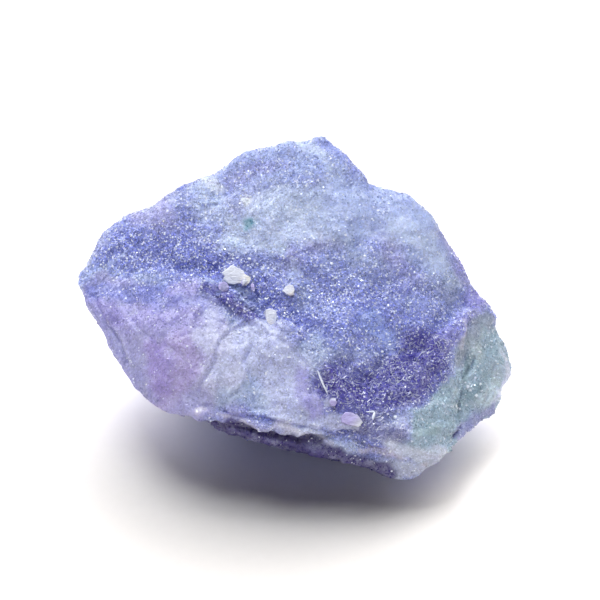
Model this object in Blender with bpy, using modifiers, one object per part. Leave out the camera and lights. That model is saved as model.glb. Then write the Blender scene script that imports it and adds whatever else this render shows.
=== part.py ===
"""A rough lump of angelite, the blue-violet massive kind of anhydrite. It is one stone, 51 mm long.

The stone is built the way it broke. Convex blocks with flat fracture faces stand for its lobes, and are
fused into one mass. Hollows, swells, grooves, bedding ledges and hackly facets are worked into the surface,
the underside is cut flat where the stone rests, and cleavage crystals are set in it. The shape is worked out
in millimetres and scaled to metres last. +X runs along the stone, +Y away from the foot of its main face,
and +Z up, from the middle of its underside.
"""

import math
import random

import bmesh
import bpy
import numpy as np
from mathutils import Euler, Matrix, Vector, noise
from mathutils.bvhtree import BVHTree

NAME = "angelite"
METRES_PER_MM = 0.001

# How finely the fused stone is meshed, how its edges are softened, and what both take off its skin
VOXEL = 0.34
SOFTENING, SOFTENING_ROUNDS = 0.5, 2
SKIN_LOSS = 0.2

# The triangles that are kept of the stone before its crystals are set
STONE_TRIANGLES = 7100

# Corners of the convex blocks, each where two or more fracture faces meet
MAIN_BLOCK = {
    "peak": (1.6, 13.3, 26.3), "crest left": (-3, 13, 26), "crest end": (-6.8, 12.5, 25.3),
    "notch": (-10.8, 11.2, 22.2), "shoulder": (-17.2, 10.2, 20), "shoulder end": (-22.8, 9, 17.2),
    "left rim": (-24.8, 6, 15.7), "left tip": (-27.2, 2.3, 14), "left foot": (-25.6, -1, 12.1),
    "crest right": (4.6, 12.4, 24.2), "right notch": (7.4, 10, 21.4), "right shoulder": (11.8, 9, 21),
    "right brow": (14.2, 7.3, 19.2), "right flank": (16.2, 6, 16.7), "right slope": (18.3, 4.4, 13.5),
    "right knee": (20.2, 3, 10.7), "front right": (13, -16.2, 7.1), "front": (8.8, -18, 7),
    "front left": (-2, -14.5, 7.5), "left under": (-18, -2, 5), "left heel": (-14, 5, 3),
    "back left low": (-18.5, 11, 9), "back left": (-15, 13.5, 15), "back": (-5, 16, 18),
    "back right": (6, 15.5, 18), "back shoulder": (13.5, 12.5, 14), "back knee": (20, 7.5, 7),
    "back low": (4, 15.5, 6), "back heel": (-9, 13, 4.5), "right low": (21.5, -2, 4),
    "right heel": (15, 6, 1.8), "base left": (-7, -1, -0.8), "base back left": (-5, 7, -0.8),
    "base back": (4, 8, -0.8), "base right": (9, 3, -0.8), "base front": (7, -4, -0.8),
    "base front left": (-1, -5, -0.8),
}
LEFT_LOBE = {
    "crack top": (-10.6, -1.8, 17.2), "crack middle": (-7, -4.8, 16.2), "crack foot": (-4.3, -7, 15.2),
    "top left": (-17, 1, 16.6), "rim": (-24.8, 0.5, 13.4), "tip": (-25.4, -1, 12.2),
    "side": (-23, -4.2, 10.8), "side low": (-21.4, -8.8, 8.7), "corner": (-17.2, -13.2, 7.3),
    "edge": (-11.2, -16, 7.7), "edge right": (-5.5, -16.8, 8.1), "belly": (-15, -8.5, 13.6),
    "belly right": (-8.5, -10.5, 13.4), "inner": (-9, 3, 9), "inner low": (-7, -6, 4),
    "inner left": (-18, 0, 8), "under": (-15, -9, 5.5),
}
PALE_LOBE = {
    "top left": (-8.5, -8, 14.8), "top": (-3, -7.8, 15.8), "top right": (0, -8.8, 15.2),
    "shoulder": (2.2, -11.8, 13.4), "nose top": (4.8, -15.2, 11), "nose": (6.6, -17.6, 8.6),
    "edge": (0, -18, 7.4), "edge left": (-7, -16.8, 7.8), "inner": (-2, -6, 6), "inner right": (4, -11, 5),
}
TEAL_BLOCK = {
    "arris top": (20.6, 2.6, 10.6), "arris upper": (18, -2, 12), "arris middle": (14.2, -7, 11.6),
    "arris lower": (12.5, -11.5, 10.2), "arris foot": (10.4, -17.4, 7.7), "tip top": (12.6, -18.7, 6),
    "tip": (15.6, -17.6, 4.5), "flank": (18.2, -13.8, 3.9), "side": (22, -8.2, 3.6),
    "side end": (24, -3.8, 4.1), "corner": (24.1, -1, 5.7), "back": (22.1, 1.2, 7.2),
    "inner": (10, 0, 5), "inner low": (13, -9, 1.9), "tip low": (12.8, -18, 3.2),
}
LEDGE = {
    "top left": (-11, -14.4, 8), "top": (-1, -16.4, 7.2), "top right": (9, -18.4, 6.4),
    "top tip": (12, -19, 5.2), "left": (-12, -15.1, 6.9), "left middle": (-6, -16.9, 6.1),
    "middle": (0, -17.7, 5.1), "right": (5, -18.8, 4.1), "tip left": (9, -19.8, 3.1),
    "tip": (11.8, -20, 2.9), "tip right": (14.4, -17.6, 3.2), "under left": (-8, -12, 4),
    "under middle": (2, -15, 2.2), "under tip": (11, -16.5, 1.7), "root right": (12, -8, 1.3),
    "root": (0, -8, 1), "root left": (-8, -6, 4),
}
BACK_SLAB = {
    "top left": (-9, 14.4, 20.5), "top right": (2, 15.6, 20.6), "right": (7, 17.2, 14),
    "right low": (5, 16.4, 6.5), "low": (-5, 14.8, 4.5), "left": (-13, 14, 9),
    "left top": (-13.5, 13.8, 15), "inner": (-4, 6, 12), "under": (0, 12, 3),
}
BACK_STEP = {
    "top": (9.5, 12, 18.8), "right": (17, 10.8, 11), "low": (16, 11, 6), "left low": (9, 13.8, 4.5),
    "left": (8, 15.2, 12), "inner": (8, 6, 10),
}
BLOCKS = (MAIN_BLOCK, LEFT_LOBE, PALE_LOBE, TEAL_BLOCK, LEDGE, BACK_SLAB, BACK_STEP)

# Broad swells (+) and hollows (-): centre, reach along X, Y and Z, height
SWELLS = {
    "main hollow": ((3, -1, 17), (8, 7, 5), -0.8),
    "dark hollow": ((8.5, -9, 12), (3.5, 5, 4), -1.1),
    "hollow's lip": ((8, -16.5, 7), (3, 2, 2.5), 0.3),
    "right brow": ((10, 6, 22), (6, 4, 4), 0.6),
    "left lobe": ((-16, -6, 13), (6, 5, 4), 0.5),
    "groove in the teal part": ((18, -9, 7.5), (1.2, 4, 3), -0.7),
    "crest step": ((-6, 8, 22.5), (7, 1.5, 2), -0.5),
    "left notch": ((-10.8, 11.5, 22), (2.6, 3, 3), -0.7),
    "right notch": ((7, 10.8, 22.8), (3, 3, 3), -1.2),
    "left rim groove": ((-21.5, 5, 16), (1.5, 4, 2), -0.25),
}

# Narrow ridges (+) and grooves (-): height, half width, and the line that each follows
CREASES = {
    "open crack above the left lobe": (
        -0.5, 0.5, ((-11.5, -0.5, 17.2), (-8, -3, 16.8), (-6.5, -4.5, 16.2), (-3.8, -7, 15.2)),
    ),
    "under the lobes' lower edge": (
        -0.8, 0.8,
        ((-13, -14.2, 7.2), (-4.6, -16.6, 7), (4.6, -18.1, 6), (9, -18.9, 5.3)),
    ),
    "arris of the teal part": (
        0.35, 0.9,
        ((20.4, 2.4, 10.6), (18, -2, 12), (14.2, -7, 11.6), (12.5, -11.5, 10.2), (10.6, -16, 8)),
    ),
}

# Bedding, seen as thin ledges on the front's lower edge: how thick a bed is, how far it steps out, how much
# it falls along X, how it wavers (size, height), and where the beds fade in, forwards and downwards
# (start, width)
BED_THICKNESS, BED_STEP, BED_FALL = 1.4, 0.5, 0.22
BED_WAVER = (3, 0.35)
BED_FADE_FORWARD, BED_FADE_DOWN = (-11, 3), (9.5, 2)

# Hackly facets (size, tilt) from coarse to fine, the seed of their tilts, what parts the tilts of neighbours,
# and the fractal roughness over them (size, height)
FACETS = ((5.5, 0.18), (2.6, 0.24))
TILT_SEED, TILT_SPREAD = 6, 7.3
ROUGHNESS = ((9, 0.45), (3, 0.22))
ROUGHNESS_OCTAVES = 3

# The larger white cleavage crystals: place near the main face, length, width and thickness, turn in degrees.
# Their middles lie this far under the surface
CRYSTAL_SINK = 0.35
CRYSTALS = {
    "cluster plate": ((-7.6, -0.4, 17.5), (2.3, 2.1, 1.6), 35),
    "cluster block": ((-6.6, -1.1, 17), (1.7, 1.5, 1.9), 62),
    "violet crystal": ((-8.8, -1.4, 17), (1.4, 1.3, 1.5), 18),
    "splinter": ((-5.7, -2.2, 16.5), (0.7, 1.3, 1.6), 12),
    "right crystal": ((-1.3, -2, 16.8), (1.4, 1.3, 1.5), 28),
    "crack crystal": ((-3.5, -5.6, 15), (1.2, 1.6, 1.6), 8),
}

# The small cleavage grains that catch the light: how many, their longest side, each side as a share of it,
# how deep they sit as a share of it, and how far they lean from the surface in radians
GRAIN_COUNT, GRAIN_SEED = 90, 11
GRAIN_SIDE, GRAIN_SHARES = (0.5, 1.1), (0.7, 1.1)
GRAIN_SINK, GRAIN_LEAN = 0.3, 0.4

# They grow where the surface looks up and forwards, above a height and to the right of the left rim
GRAIN_LEAST_UP, GRAIN_MOST_BACK = 0.45, 0.1
GRAIN_FLOOR, GRAIN_LEFT_END = 8, -20


def clear_scene():
    for obj in list(bpy.data.objects):
        bpy.data.objects.remove(obj, do_unlink=True)


def stone_material():
    material = bpy.data.materials.new("angelite, sugary")
    material.use_nodes = True
    shader = material.node_tree.nodes["Principled BSDF"]
    shader.inputs["Base Color"].default_value = (0.27, 0.29, 0.58, 1)
    shader.inputs["Roughness"].default_value = 0.35
    shader.inputs["Metallic"].default_value = 0
    return material


def mesh_object(name, mesh, collection):
    obj = bpy.data.objects.new(name, mesh)
    collection.objects.link(obj)
    return obj


def apply_modifiers(obj):
    graph = bpy.context.evaluated_depsgraph_get()
    graph.update()
    obj.data = bpy.data.meshes.new_from_object(obj.evaluated_get(graph))
    obj.modifiers.clear()


def fuse(obj):
    """Makes one skin of shells that overlap."""
    remesh = obj.modifiers.new("Fuse", "REMESH")
    remesh.mode = "VOXEL"
    remesh.voxel_size = VOXEL
    apply_modifiers(obj)


def add_block(bm, corners):
    """The convex hull of the corners, as one closed shell in the mesh being built."""
    points = [bm.verts.new(corner) for corner in corners.values()]
    hull = bmesh.ops.convex_hull(bm, input=points)
    inside = [v for v in hull["geom_interior"] if isinstance(v, bmesh.types.BMVert)]
    bmesh.ops.delete(bm, geom=inside, context="VERTS")


def fused_blocks(collection):
    """All the blocks as one mass, with its sharp edges softened."""
    bm = bmesh.new()
    for corners in BLOCKS:
        add_block(bm, corners)
    bmesh.ops.recalc_face_normals(bm, faces=bm.faces)
    mesh = bpy.data.meshes.new(NAME)
    bm.to_mesh(mesh)
    bm.free()
    stone = mesh_object(NAME, mesh, collection)
    fuse(stone)
    soften = stone.modifiers.new("Soften", "SMOOTH")
    soften.factor = SOFTENING
    soften.iterations = SOFTENING_ROUNDS
    apply_modifiers(stone)
    return stone


def swell_height(point):
    """The sum of the broad swells and hollows, each a bell that fades with distance."""
    height = 0.0
    for centre, reach, rise in SWELLS.values():
        squared = sum(((p - c) / r) ** 2 for p, c, r in zip(point, centre, reach))
        height += rise * math.exp(-squared)
    return height


def distance_to_stretch(point, start, end):
    """How far the point is from the straight stretch between two others."""
    stretch = end - start
    share = (point - start).dot(stretch) / stretch.length_squared
    return (point - start - stretch * max(0.0, min(1.0, share))).length


def crease_height(point):
    """The sum of the narrow ridges and grooves, each with straight sides that meet at its line."""
    height = 0.0
    for rise, half_width, line in CREASES.values():
        corners = [Vector(corner) for corner in line]
        nearest = min(distance_to_stretch(point, *ends) for ends in zip(corners[:-1], corners[1:]))
        height += rise * max(0.0, 1 - nearest / half_width)
    return height


def fade(value, start, width):
    """0 above the start, rising to 1 over a width below it."""
    return max(0.0, min(1.0, (start - value) / width))


def bedding_height(point):
    """Ledges that step out and fall back once a bed, low on the stone's front."""
    strength = fade(point.y, *BED_FADE_FORWARD) * fade(point.z, *BED_FADE_DOWN)
    size, height = BED_WAVER
    bed = (point.z + BED_FALL * point.x + height * noise.noise(point / size)) / BED_THICKNESS
    return BED_STEP * strength * (bed - math.floor(bed) - 0.5)


def facet_height(point, size, tilt):
    """Flat facets: each cell of a Voronoi pattern is a small plane with a tilt of its own."""
    cell = noise.voronoi(point / size)[1][0]
    slope = noise.noise_vector(cell * TILT_SPREAD)
    return tilt * size * slope.dot(point / size - cell)


def relief(point):
    """How far the surface stands out at this point, in millimetres."""
    height = SKIN_LOSS + swell_height(point) + crease_height(point) + bedding_height(point)
    for size, tilt in FACETS:
        height += facet_height(point, size, tilt)
    for size, rise in ROUGHNESS:
        height += rise * noise.fractal(point / size, 1.0, 2.0, ROUGHNESS_OCTAVES)
    return height


def roughen(stone):
    """Moves every point out by its relief, and fuses again what that has folded over itself."""
    mesh = stone.data
    moved = [vertex.co + vertex.normal * relief(vertex.co) for vertex in mesh.vertices]
    mesh.vertices.foreach_set("co", np.array(moved, np.float32).ravel())
    mesh.update()
    fuse(stone)


def thin_out(stone):
    """Collapses the fine mesh to the triangles that its shape needs."""
    stone.modifiers.new("Triangles", "TRIANGULATE")
    decimate = stone.modifiers.new("Thin out", "DECIMATE")
    decimate.ratio = STONE_TRIANGLES / (2 * len(stone.data.polygons))
    apply_modifiers(stone)


def cut_flat(mesh):
    """Cuts off what reaches below z = 0, which leaves the small flat that the stone rests on."""
    bm = bmesh.new()
    bm.from_mesh(mesh)
    everything = bm.verts[:] + bm.edges[:] + bm.faces[:]
    bmesh.ops.bisect_plane(bm, geom=everything, plane_co=(0, 0, 0), plane_no=(0, 0, -1), clear_outer=True)
    rim = [edge for edge in bm.edges if edge.is_boundary]
    bmesh.ops.contextual_create(bm, geom=rim)
    bmesh.ops.triangulate(bm, faces=[face for face in bm.faces if len(face.verts) > 3])
    bm.to_mesh(mesh)
    bm.free()


def add_crystal(bm, centre, size, turn):
    """One cleavage block: a cube stretched, turned and put in its place."""
    place = Matrix.LocRotScale(centre, turn, Vector(size))
    bmesh.ops.create_cube(bm, size=1, matrix=place)


def upright_on(normal, lean):
    """The turn that stands a crystal on the surface, with its own lean and spin."""
    return normal.to_track_quat("Z", "Y") @ lean.to_quaternion()


def bears_grains(face):
    looks_right = face.normal.z > GRAIN_LEAST_UP and face.normal.y < GRAIN_MOST_BACK
    return looks_right and face.center.z > GRAIN_FLOOR and face.center.x > GRAIN_LEFT_END


def add_large_crystals(bm, mesh):
    surface = BVHTree.FromPolygons([v.co for v in mesh.vertices], [f.vertices for f in mesh.polygons])
    for place, size, spin in CRYSTALS.values():
        centre, normal = surface.find_nearest(Vector(place))[:2]
        turn = upright_on(normal, Euler((0, 0, math.radians(spin))))
        add_crystal(bm, centre - CRYSTAL_SINK * normal, size, turn)


def add_grains(bm, mesh):
    """Grains on faces chosen by their area, of drawn sizes and leans."""
    draw = random.Random(GRAIN_SEED)
    faces = [face for face in mesh.polygons if bears_grains(face)]
    for face in draw.choices(faces, weights=[face.area for face in faces], k=GRAIN_COUNT):
        side = draw.uniform(*GRAIN_SIDE)
        size = [side * draw.uniform(*GRAIN_SHARES) for _ in range(3)]
        leans = [draw.uniform(-GRAIN_LEAN, GRAIN_LEAN) for _ in range(2)]
        turn = upright_on(face.normal, Euler((*leans, draw.uniform(0, math.pi))))
        add_crystal(bm, face.center - GRAIN_SINK * side * face.normal, size, turn)


def set_crystals(stone, cutters):
    """Unites the white crystals and the grains with the stone, each sunk half into it or more."""
    bm = bmesh.new()
    add_large_crystals(bm, stone.data)
    add_grains(bm, stone.data)
    mesh = bpy.data.meshes.new("crystals")
    bm.to_mesh(mesh)
    bm.free()
    crystals = mesh_object("crystals", mesh, cutters)
    crystals.hide_render = True
    crystals.display_type = "WIRE"
    union = stone.modifiers.new("Set crystals", "BOOLEAN")
    union.operation = "UNION"
    union.solver = "EXACT"
    union.use_self = True
    union.object = crystals
    apply_modifiers(stone)
    bpy.data.objects.remove(crystals, do_unlink=True)


def centre_in_metres(mesh):
    """Moves the middle of the underside to the origin, and turns millimetres into metres."""
    points = np.empty(len(mesh.vertices) * 3)
    mesh.vertices.foreach_get("co", points)
    points = points.reshape(-1, 3)
    low, high = points.min(axis=0), points.max(axis=0)
    middle = Vector(((low[0] + high[0]) / 2, (low[1] + high[1]) / 2, low[2]))
    mesh.transform(Matrix.Scale(METRES_PER_MM, 4) @ Matrix.Translation(-middle))


def main():
    clear_scene()
    noise.seed_set(TILT_SEED)
    parts = bpy.data.collections.new("Rough angelite")
    cutters = bpy.data.collections.new("Crystal blocks")
    for collection in (parts, cutters):
        bpy.context.scene.collection.children.link(collection)
    cutters.hide_render = True
    stone = fused_blocks(parts)
    roughen(stone)
    thin_out(stone)
    cut_flat(stone.data)
    set_crystals(stone, cutters)
    centre_in_metres(stone.data)
    stone.data.materials.clear()
    stone.data.materials.append(stone_material())


main()
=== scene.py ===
"""A rough lump of angelite as broken from the vein: violet-blue, sugary with cleavage
grains, on a pale studio floor."""

import math

import bmesh
import bpy
import numpy as np
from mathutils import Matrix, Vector
from mathutils.bvhtree import BVHTree


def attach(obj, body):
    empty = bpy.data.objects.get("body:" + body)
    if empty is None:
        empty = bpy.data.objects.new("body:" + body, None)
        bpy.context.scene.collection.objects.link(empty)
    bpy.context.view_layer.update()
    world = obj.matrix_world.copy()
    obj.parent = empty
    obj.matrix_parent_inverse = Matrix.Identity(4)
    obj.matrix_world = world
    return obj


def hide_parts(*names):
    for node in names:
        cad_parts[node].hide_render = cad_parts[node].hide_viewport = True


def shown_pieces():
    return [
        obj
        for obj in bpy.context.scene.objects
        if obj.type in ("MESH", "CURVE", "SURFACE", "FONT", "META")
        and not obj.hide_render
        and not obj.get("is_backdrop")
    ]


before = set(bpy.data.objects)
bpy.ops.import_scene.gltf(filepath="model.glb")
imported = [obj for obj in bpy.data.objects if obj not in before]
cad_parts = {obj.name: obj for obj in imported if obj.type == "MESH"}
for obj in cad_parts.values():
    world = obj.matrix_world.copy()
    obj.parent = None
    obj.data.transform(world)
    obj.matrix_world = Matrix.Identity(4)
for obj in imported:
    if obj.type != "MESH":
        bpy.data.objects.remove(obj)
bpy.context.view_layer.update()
stone_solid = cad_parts["angelite"]

# The camera.
# A long lens, a hand's length and a half from the lump and looking down on it by
# 38 degrees, so that one of the 600 picture points is 0.115 mm wide there.

MM = 0.001
LENS_DISTANCE = 280.0
LENS_RISE = math.radians(38)
PICTURE_POINTS = 600
POINT_WIDTH = 0.115
SENSOR_WIDTH = 36.0
LENS_CLIP = (0.01, 20)
LOOKED_AT = Vector((0.5, 0.0, 13.8))

camera_data = bpy.data.cameras.new("camera")
camera_data.sensor_width = SENSOR_WIDTH
camera_data.lens = SENSOR_WIDTH * LENS_DISTANCE / (PICTURE_POINTS * POINT_WIDTH)
camera_data.clip_start, camera_data.clip_end = LENS_CLIP
camera = bpy.data.objects.new("camera", camera_data)
back_off = Vector((0, -math.cos(LENS_RISE), math.sin(LENS_RISE))) * LENS_DISTANCE
camera.location = (LOOKED_AT + back_off) * MM
camera.rotation_euler = (math.pi / 2 - LENS_RISE, 0, 0)
bpy.context.scene.collection.objects.link(camera)
bpy.context.scene.camera = camera

# The broken skin of the lump.
# One mass of fine-grained anhydrite, colour-banded from violet-blue through
# lavender to grey-teal. Where it broke across the grain it is sugary; where
# it parted along waxy, denser bands it is smooth and lumpy.

SKIN_STEP = 0.25
SOFTENED = 7
SHEET_GAP = 0.3
SHEET_SLACK = 1.15
SIDE_BLUR = 16
FAR_AWAY = 1e9


def even_skin(solid, step, rounds):
    """(points in millimetres, four-cornered faces) of a closed skin on the solid: a
    merged copy is rebuilt of squares of that step, and each point is moved half way
    to the middle of its neighbours that many times."""
    copy = bpy.data.objects.new("copy", solid.data.copy())
    bpy.context.scene.collection.objects.link(copy)
    merged = bmesh.new()
    merged.from_mesh(copy.data)
    bmesh.ops.remove_doubles(merged, verts=merged.verts, dist=1e-6)
    merged.to_mesh(copy.data)
    merged.free()
    squares = copy.modifiers.new("squares", "REMESH")
    squares.mode = "VOXEL"
    squares.voxel_size = step * MM
    soften = copy.modifiers.new("softened", "SMOOTH")
    soften.factor = 0.5
    soften.iterations = rounds
    grown = copy.evaluated_get(bpy.context.evaluated_depsgraph_get()).data
    points = np.empty(len(grown.vertices) * 3, np.float32)
    grown.vertices.foreach_get("co", points)
    corners = np.empty(len(grown.loops), np.int32)
    grown.loops.foreach_get("vertex_index", corners)
    bpy.data.objects.remove(copy)
    return points.reshape(-1, 3).astype(float) / MM, corners.reshape(-1, 4).astype(np.int64)


def laid_flat(points, faces):
    """Each face corner's place on the sheet that the finish is baked on. The faces'
    directions are blurred over their neighbours, and each face belongs to the side
    of the lump, of six, that it then looks at most. Faces of one side that join are
    one patch, laid flat as seen from that side, and the patches stand next to each
    other in rows, the tallest first."""
    spread = points[faces]
    out = np.cross(spread[:, 2] - spread[:, 0], spread[:, 3] - spread[:, 1])
    ends = np.sort(np.stack([faces, np.roll(faces, -1, axis=1)], -1).reshape(-1, 2), axis=1)
    edge = ends[:, 0] * len(points) + ends[:, 1]
    order = np.argsort(edge, kind="stable")
    joins = np.flatnonzero(edge[order][:-1] == edge[order][1:])
    one, other = order[joins] // 4, order[joins + 1] // 4
    for turn in range(SIDE_BLUR):
        out /= np.linalg.norm(out, axis=1, keepdims=True) + 1e-12
        from_one = [np.bincount(other, out[one, axis], len(faces)) for axis in range(3)]
        from_other = [np.bincount(one, out[other, axis], len(faces)) for axis in range(3)]
        out = out + np.array(from_one).T + np.array(from_other).T
    axis = np.abs(out).argmax(axis=1)
    side = axis * 2 + (np.take_along_axis(out, axis[:, None], 1)[:, 0] > 0)
    same = side[one] == side[other]
    one, other = one[same], other[same]
    patch = np.arange(len(faces))
    while True:
        lower = np.minimum(patch[one], patch[other])
        before = patch.copy()
        np.minimum.at(patch, one, lower)
        np.minimum.at(patch, other, lower)
        patch = patch[patch]
        if (patch == before).all():
            break
    _, first, patch = np.unique(patch, return_index=True, return_inverse=True)
    flat = np.stack([np.where(axis == 0, 1, 0), np.where(axis == 2, 1, 2)], -1)
    places = np.take_along_axis(spread, flat[:, None, :], 2)
    low = np.full((len(first), 2), FAR_AWAY)
    high = -low
    for corner in range(4):
        np.minimum.at(low, patch, places[:, corner])
        np.maximum.at(high, patch, places[:, corner])
    size = high - low + 2 * SHEET_GAP
    row_width = math.sqrt(size.prod(axis=1).sum()) * SHEET_SLACK
    start = np.zeros((len(first), 2))
    across = up = row_height = 0.0
    for number in np.argsort(-size[:, 1]):
        if across + size[number, 0] > row_width:
            across, up, row_height = 0.0, up + row_height, 0.0
        start[number] = across, up
        across += size[number, 0]
        row_height = max(row_height, size[number, 1])
    places = places + (start - low + SHEET_GAP)[patch][:, None]
    return places / max(row_width, up + row_height)


def mesh_piece(name, points, faces, sheet):
    """A piece from points in millimetres, faces of equally many corners, and each
    corner's place on the sheet that its finish is baked on."""
    mesh = bpy.data.meshes.new(name)
    mesh.vertices.add(len(points))
    mesh.vertices.foreach_set("co", (points * MM).ravel())
    mesh.loops.add(faces.size)
    mesh.loops.foreach_set("vertex_index", faces.ravel().astype(np.int32))
    mesh.polygons.add(len(faces))
    starts = np.arange(0, faces.size, faces.shape[1], dtype=np.int32)
    mesh.polygons.foreach_set("loop_start", starts)
    mesh.update(calc_edges=True)
    bake_sheet = mesh.uv_layers.new(name="OFBake")
    bake_sheet.uv.foreach_set("vector", sheet.ravel())
    piece = bpy.data.objects.new(name, mesh)
    bpy.context.scene.collection.objects.link(piece)
    return piece


skin_points, skin_faces = even_skin(stone_solid, SKIN_STEP, SOFTENED)
skin = mesh_piece("broken_skin", skin_points, skin_faces, laid_flat(skin_points, skin_faces))
skin_out = np.empty(len(skin_points) * 3, np.float32)
skin.data.vertices.foreach_get("normal", skin_out)
skin_out = skin_out.reshape(-1, 3).astype(float)
stone_tree = BVHTree.FromObject(stone_solid, bpy.context.evaluated_depsgraph_get())


def on_stone(picture_points, parts):
    """Where the camera sees each picture point on the solid, in millimetres rounded to
    that many parts of one: where the ray from the lens meets it, or, where that passes
    by, the solid's nearest place to the point as it lies in the plane looked at."""
    upwards = Vector((0, math.sin(LENS_RISE), math.cos(LENS_RISE))) * POINT_WIDTH
    rightwards = Vector((POINT_WIDTH, 0, 0))
    middle = PICTURE_POINTS / 2
    places = []
    for across, down in picture_points:
        aimed = (LOOKED_AT + rightwards * (across - middle) + upwards * (middle - down)) * MM
        way = (aimed - camera.location).normalized()
        place = stone_tree.ray_cast(camera.location, way)[0] or stone_tree.find_nearest(aimed)[0]
        places.append([round(value / MM * parts) / parts for value in place])
    return places


def halves(*picture_points):
    """The places on the stone at those picture points, to half a millimetre."""
    return on_stone(picture_points, 2)


def tenths(*picture_points):
    """The places on the stone at those picture points, to a tenth of a millimetre."""
    return on_stone(picture_points, 10)


def scatter(cells, seed):
    """Even random numbers from 0 to 1 for rows of three whole numbers: each is
    multiplied by a large prime, the sum is mixed with the seed, and its high
    bits are folded down and multiplied again, twice."""
    mixed = (cells * (73856093, 19349663, 83492791)).sum(axis=-1) + seed * 2654435761
    mixed = (mixed & 0xFFFFFFFF).astype(np.uint64)
    for fold, factor in ((15, 2246822519), (13, 3266489917)):
        mixed = (mixed ^ (mixed >> np.uint64(fold))) * np.uint64(factor)
        mixed &= np.uint64(0xFFFFFFFF)
    mixed ^= mixed >> np.uint64(16)
    return mixed / 0xFFFFFFFF


def scatter_three(cells, seed):
    """Three independent rows of scatter, each from -1 to 1."""
    return np.stack([scatter(cells, seed + turn) for turn in (0, 1, 2)], -1) * 2 - 1


def swell(places, size, seed):
    """A smooth random swell of about -1 to 1 with lumps of that size: each corner
    of a cubic lattice has a random slope, a place takes the height of each slope
    there, and the eight are blended along a curve that is flat at the corners."""
    at = places / size
    low = np.floor(at).astype(np.int64)
    along = at - low
    ease = along**3 * (along * (along * 6 - 15) + 10)
    height = np.zeros(len(places))
    for corner in np.ndindex(2, 2, 2):
        slope = scatter_three(low + corner, seed)
        share = np.where(corner, ease, 1 - ease).prod(axis=1)
        height += share * (slope * (along - corner)).sum(axis=1)
    return height * 1.5


def broken_faces(places, size, seed):
    """Height of flat broken faces of that size: each place takes the tilted plane of
    its nearest seed, one seed to a cell of a cubic lattice."""
    at = places / size
    low = np.floor(at).astype(np.int64)
    nearest = np.full(len(places), FAR_AWAY)
    height = np.zeros(len(places))
    for corner in np.ndindex(3, 3, 3):
        cells = low + corner - 1
        away = at - cells - scatter_three(cells, seed) / 2 - 0.5
        far = np.linalg.norm(away, axis=1)
        plane = (scatter_three(cells, seed + 3) * away).sum(axis=1)
        height = np.where(far < nearest, plane, height)
        nearest = np.minimum(nearest, far)
    return height * size


def line_distance(places, line):
    """Distance from a broken line: each place is dropped on every stretch and held
    between its ends, and the least distance counts."""
    best = np.full(len(places), FAR_AWAY)
    line = np.array(line, float)
    starts, ends = (line, line) if len(line) == 1 else (line[:-1], line[1:])
    for start, end in zip(starts, ends):
        stretch = end - start
        share = (places - start) @ stretch / max(stretch @ stretch, 1e-9)
        drop = start + np.clip(share, 0, 1)[:, None] * stretch
        best = np.minimum(best, np.linalg.norm(places - drop, axis=1))
    return best


def fade(distance, reach, softness):
    """1 within the reach and 0 past it, along a curve that is flat at both ends
    and whose width is the softness as a share of the reach."""
    share = np.clip((reach * (1 + softness / 2) - distance) / (reach * softness), 0, 1)
    return share * share * (3 - 2 * share)


# The colours of the mineral, as red, green and blue out of 255; a few of them stand for painted shade and
# painted glow, as marked.
MINERAL = {
    "violet blue": (147, 156, 218),
    "deep": (122, 131, 205),
    "deep blue": (100, 107, 190),
    "dark": (70, 63, 160),
    "darkest": (84, 74, 158),
    "periwinkle": (172, 186, 234),
    "blue": (142, 160, 222),
    "violet": (148, 140, 208),
    "cloud": (196, 208, 238),
    "ice": (166, 179, 222),
    "white": (226, 230, 244),
    "lavender": (165, 163, 209),
    # Painted shade: used only to darken the top of the lobe, where light from above falls.
    "deep lavender": (153, 147, 204),
    "pink": (174, 158, 208),
    "purple": (160, 146, 208),
    "pale": (196, 198, 226),
    "pale lobe": (190, 195, 230),
    "grey violet": (150, 150, 198),
    # A pale edge colour; on the left and right rims it is painted glow of light shining through the thin
    # edges.
    "rim": (208, 212, 230),
    "teal spot": (92, 146, 168),
    "teal grey": (164, 178, 204),
    "teal": (162, 184, 201),
    "teal green": (148, 168, 174),
    "teal milk": (200, 212, 218),
    "teal clear": (118, 142, 156),
    "olive": (139, 150, 160),
    "tip": (184, 190, 212),
    "cream": (222, 214, 222),
    # Painted shade: this dark colour stands for the shade beneath the overhang.
    "under": (72, 64, 122),
    # Painted shade: this dark colour stands for the shade inside the crack.
    "crack": (70, 60, 128),
    "foot": (104, 104, 160),
    "speck": (58, 62, 58),
    "crystal": (226, 228, 240),
    "crystal cream": (246, 240, 232),
    "clear crystal": (232, 238, 250),
    "violet crystal": (184, 174, 226),
    "crystal heart": (146, 144, 190),
}
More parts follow.
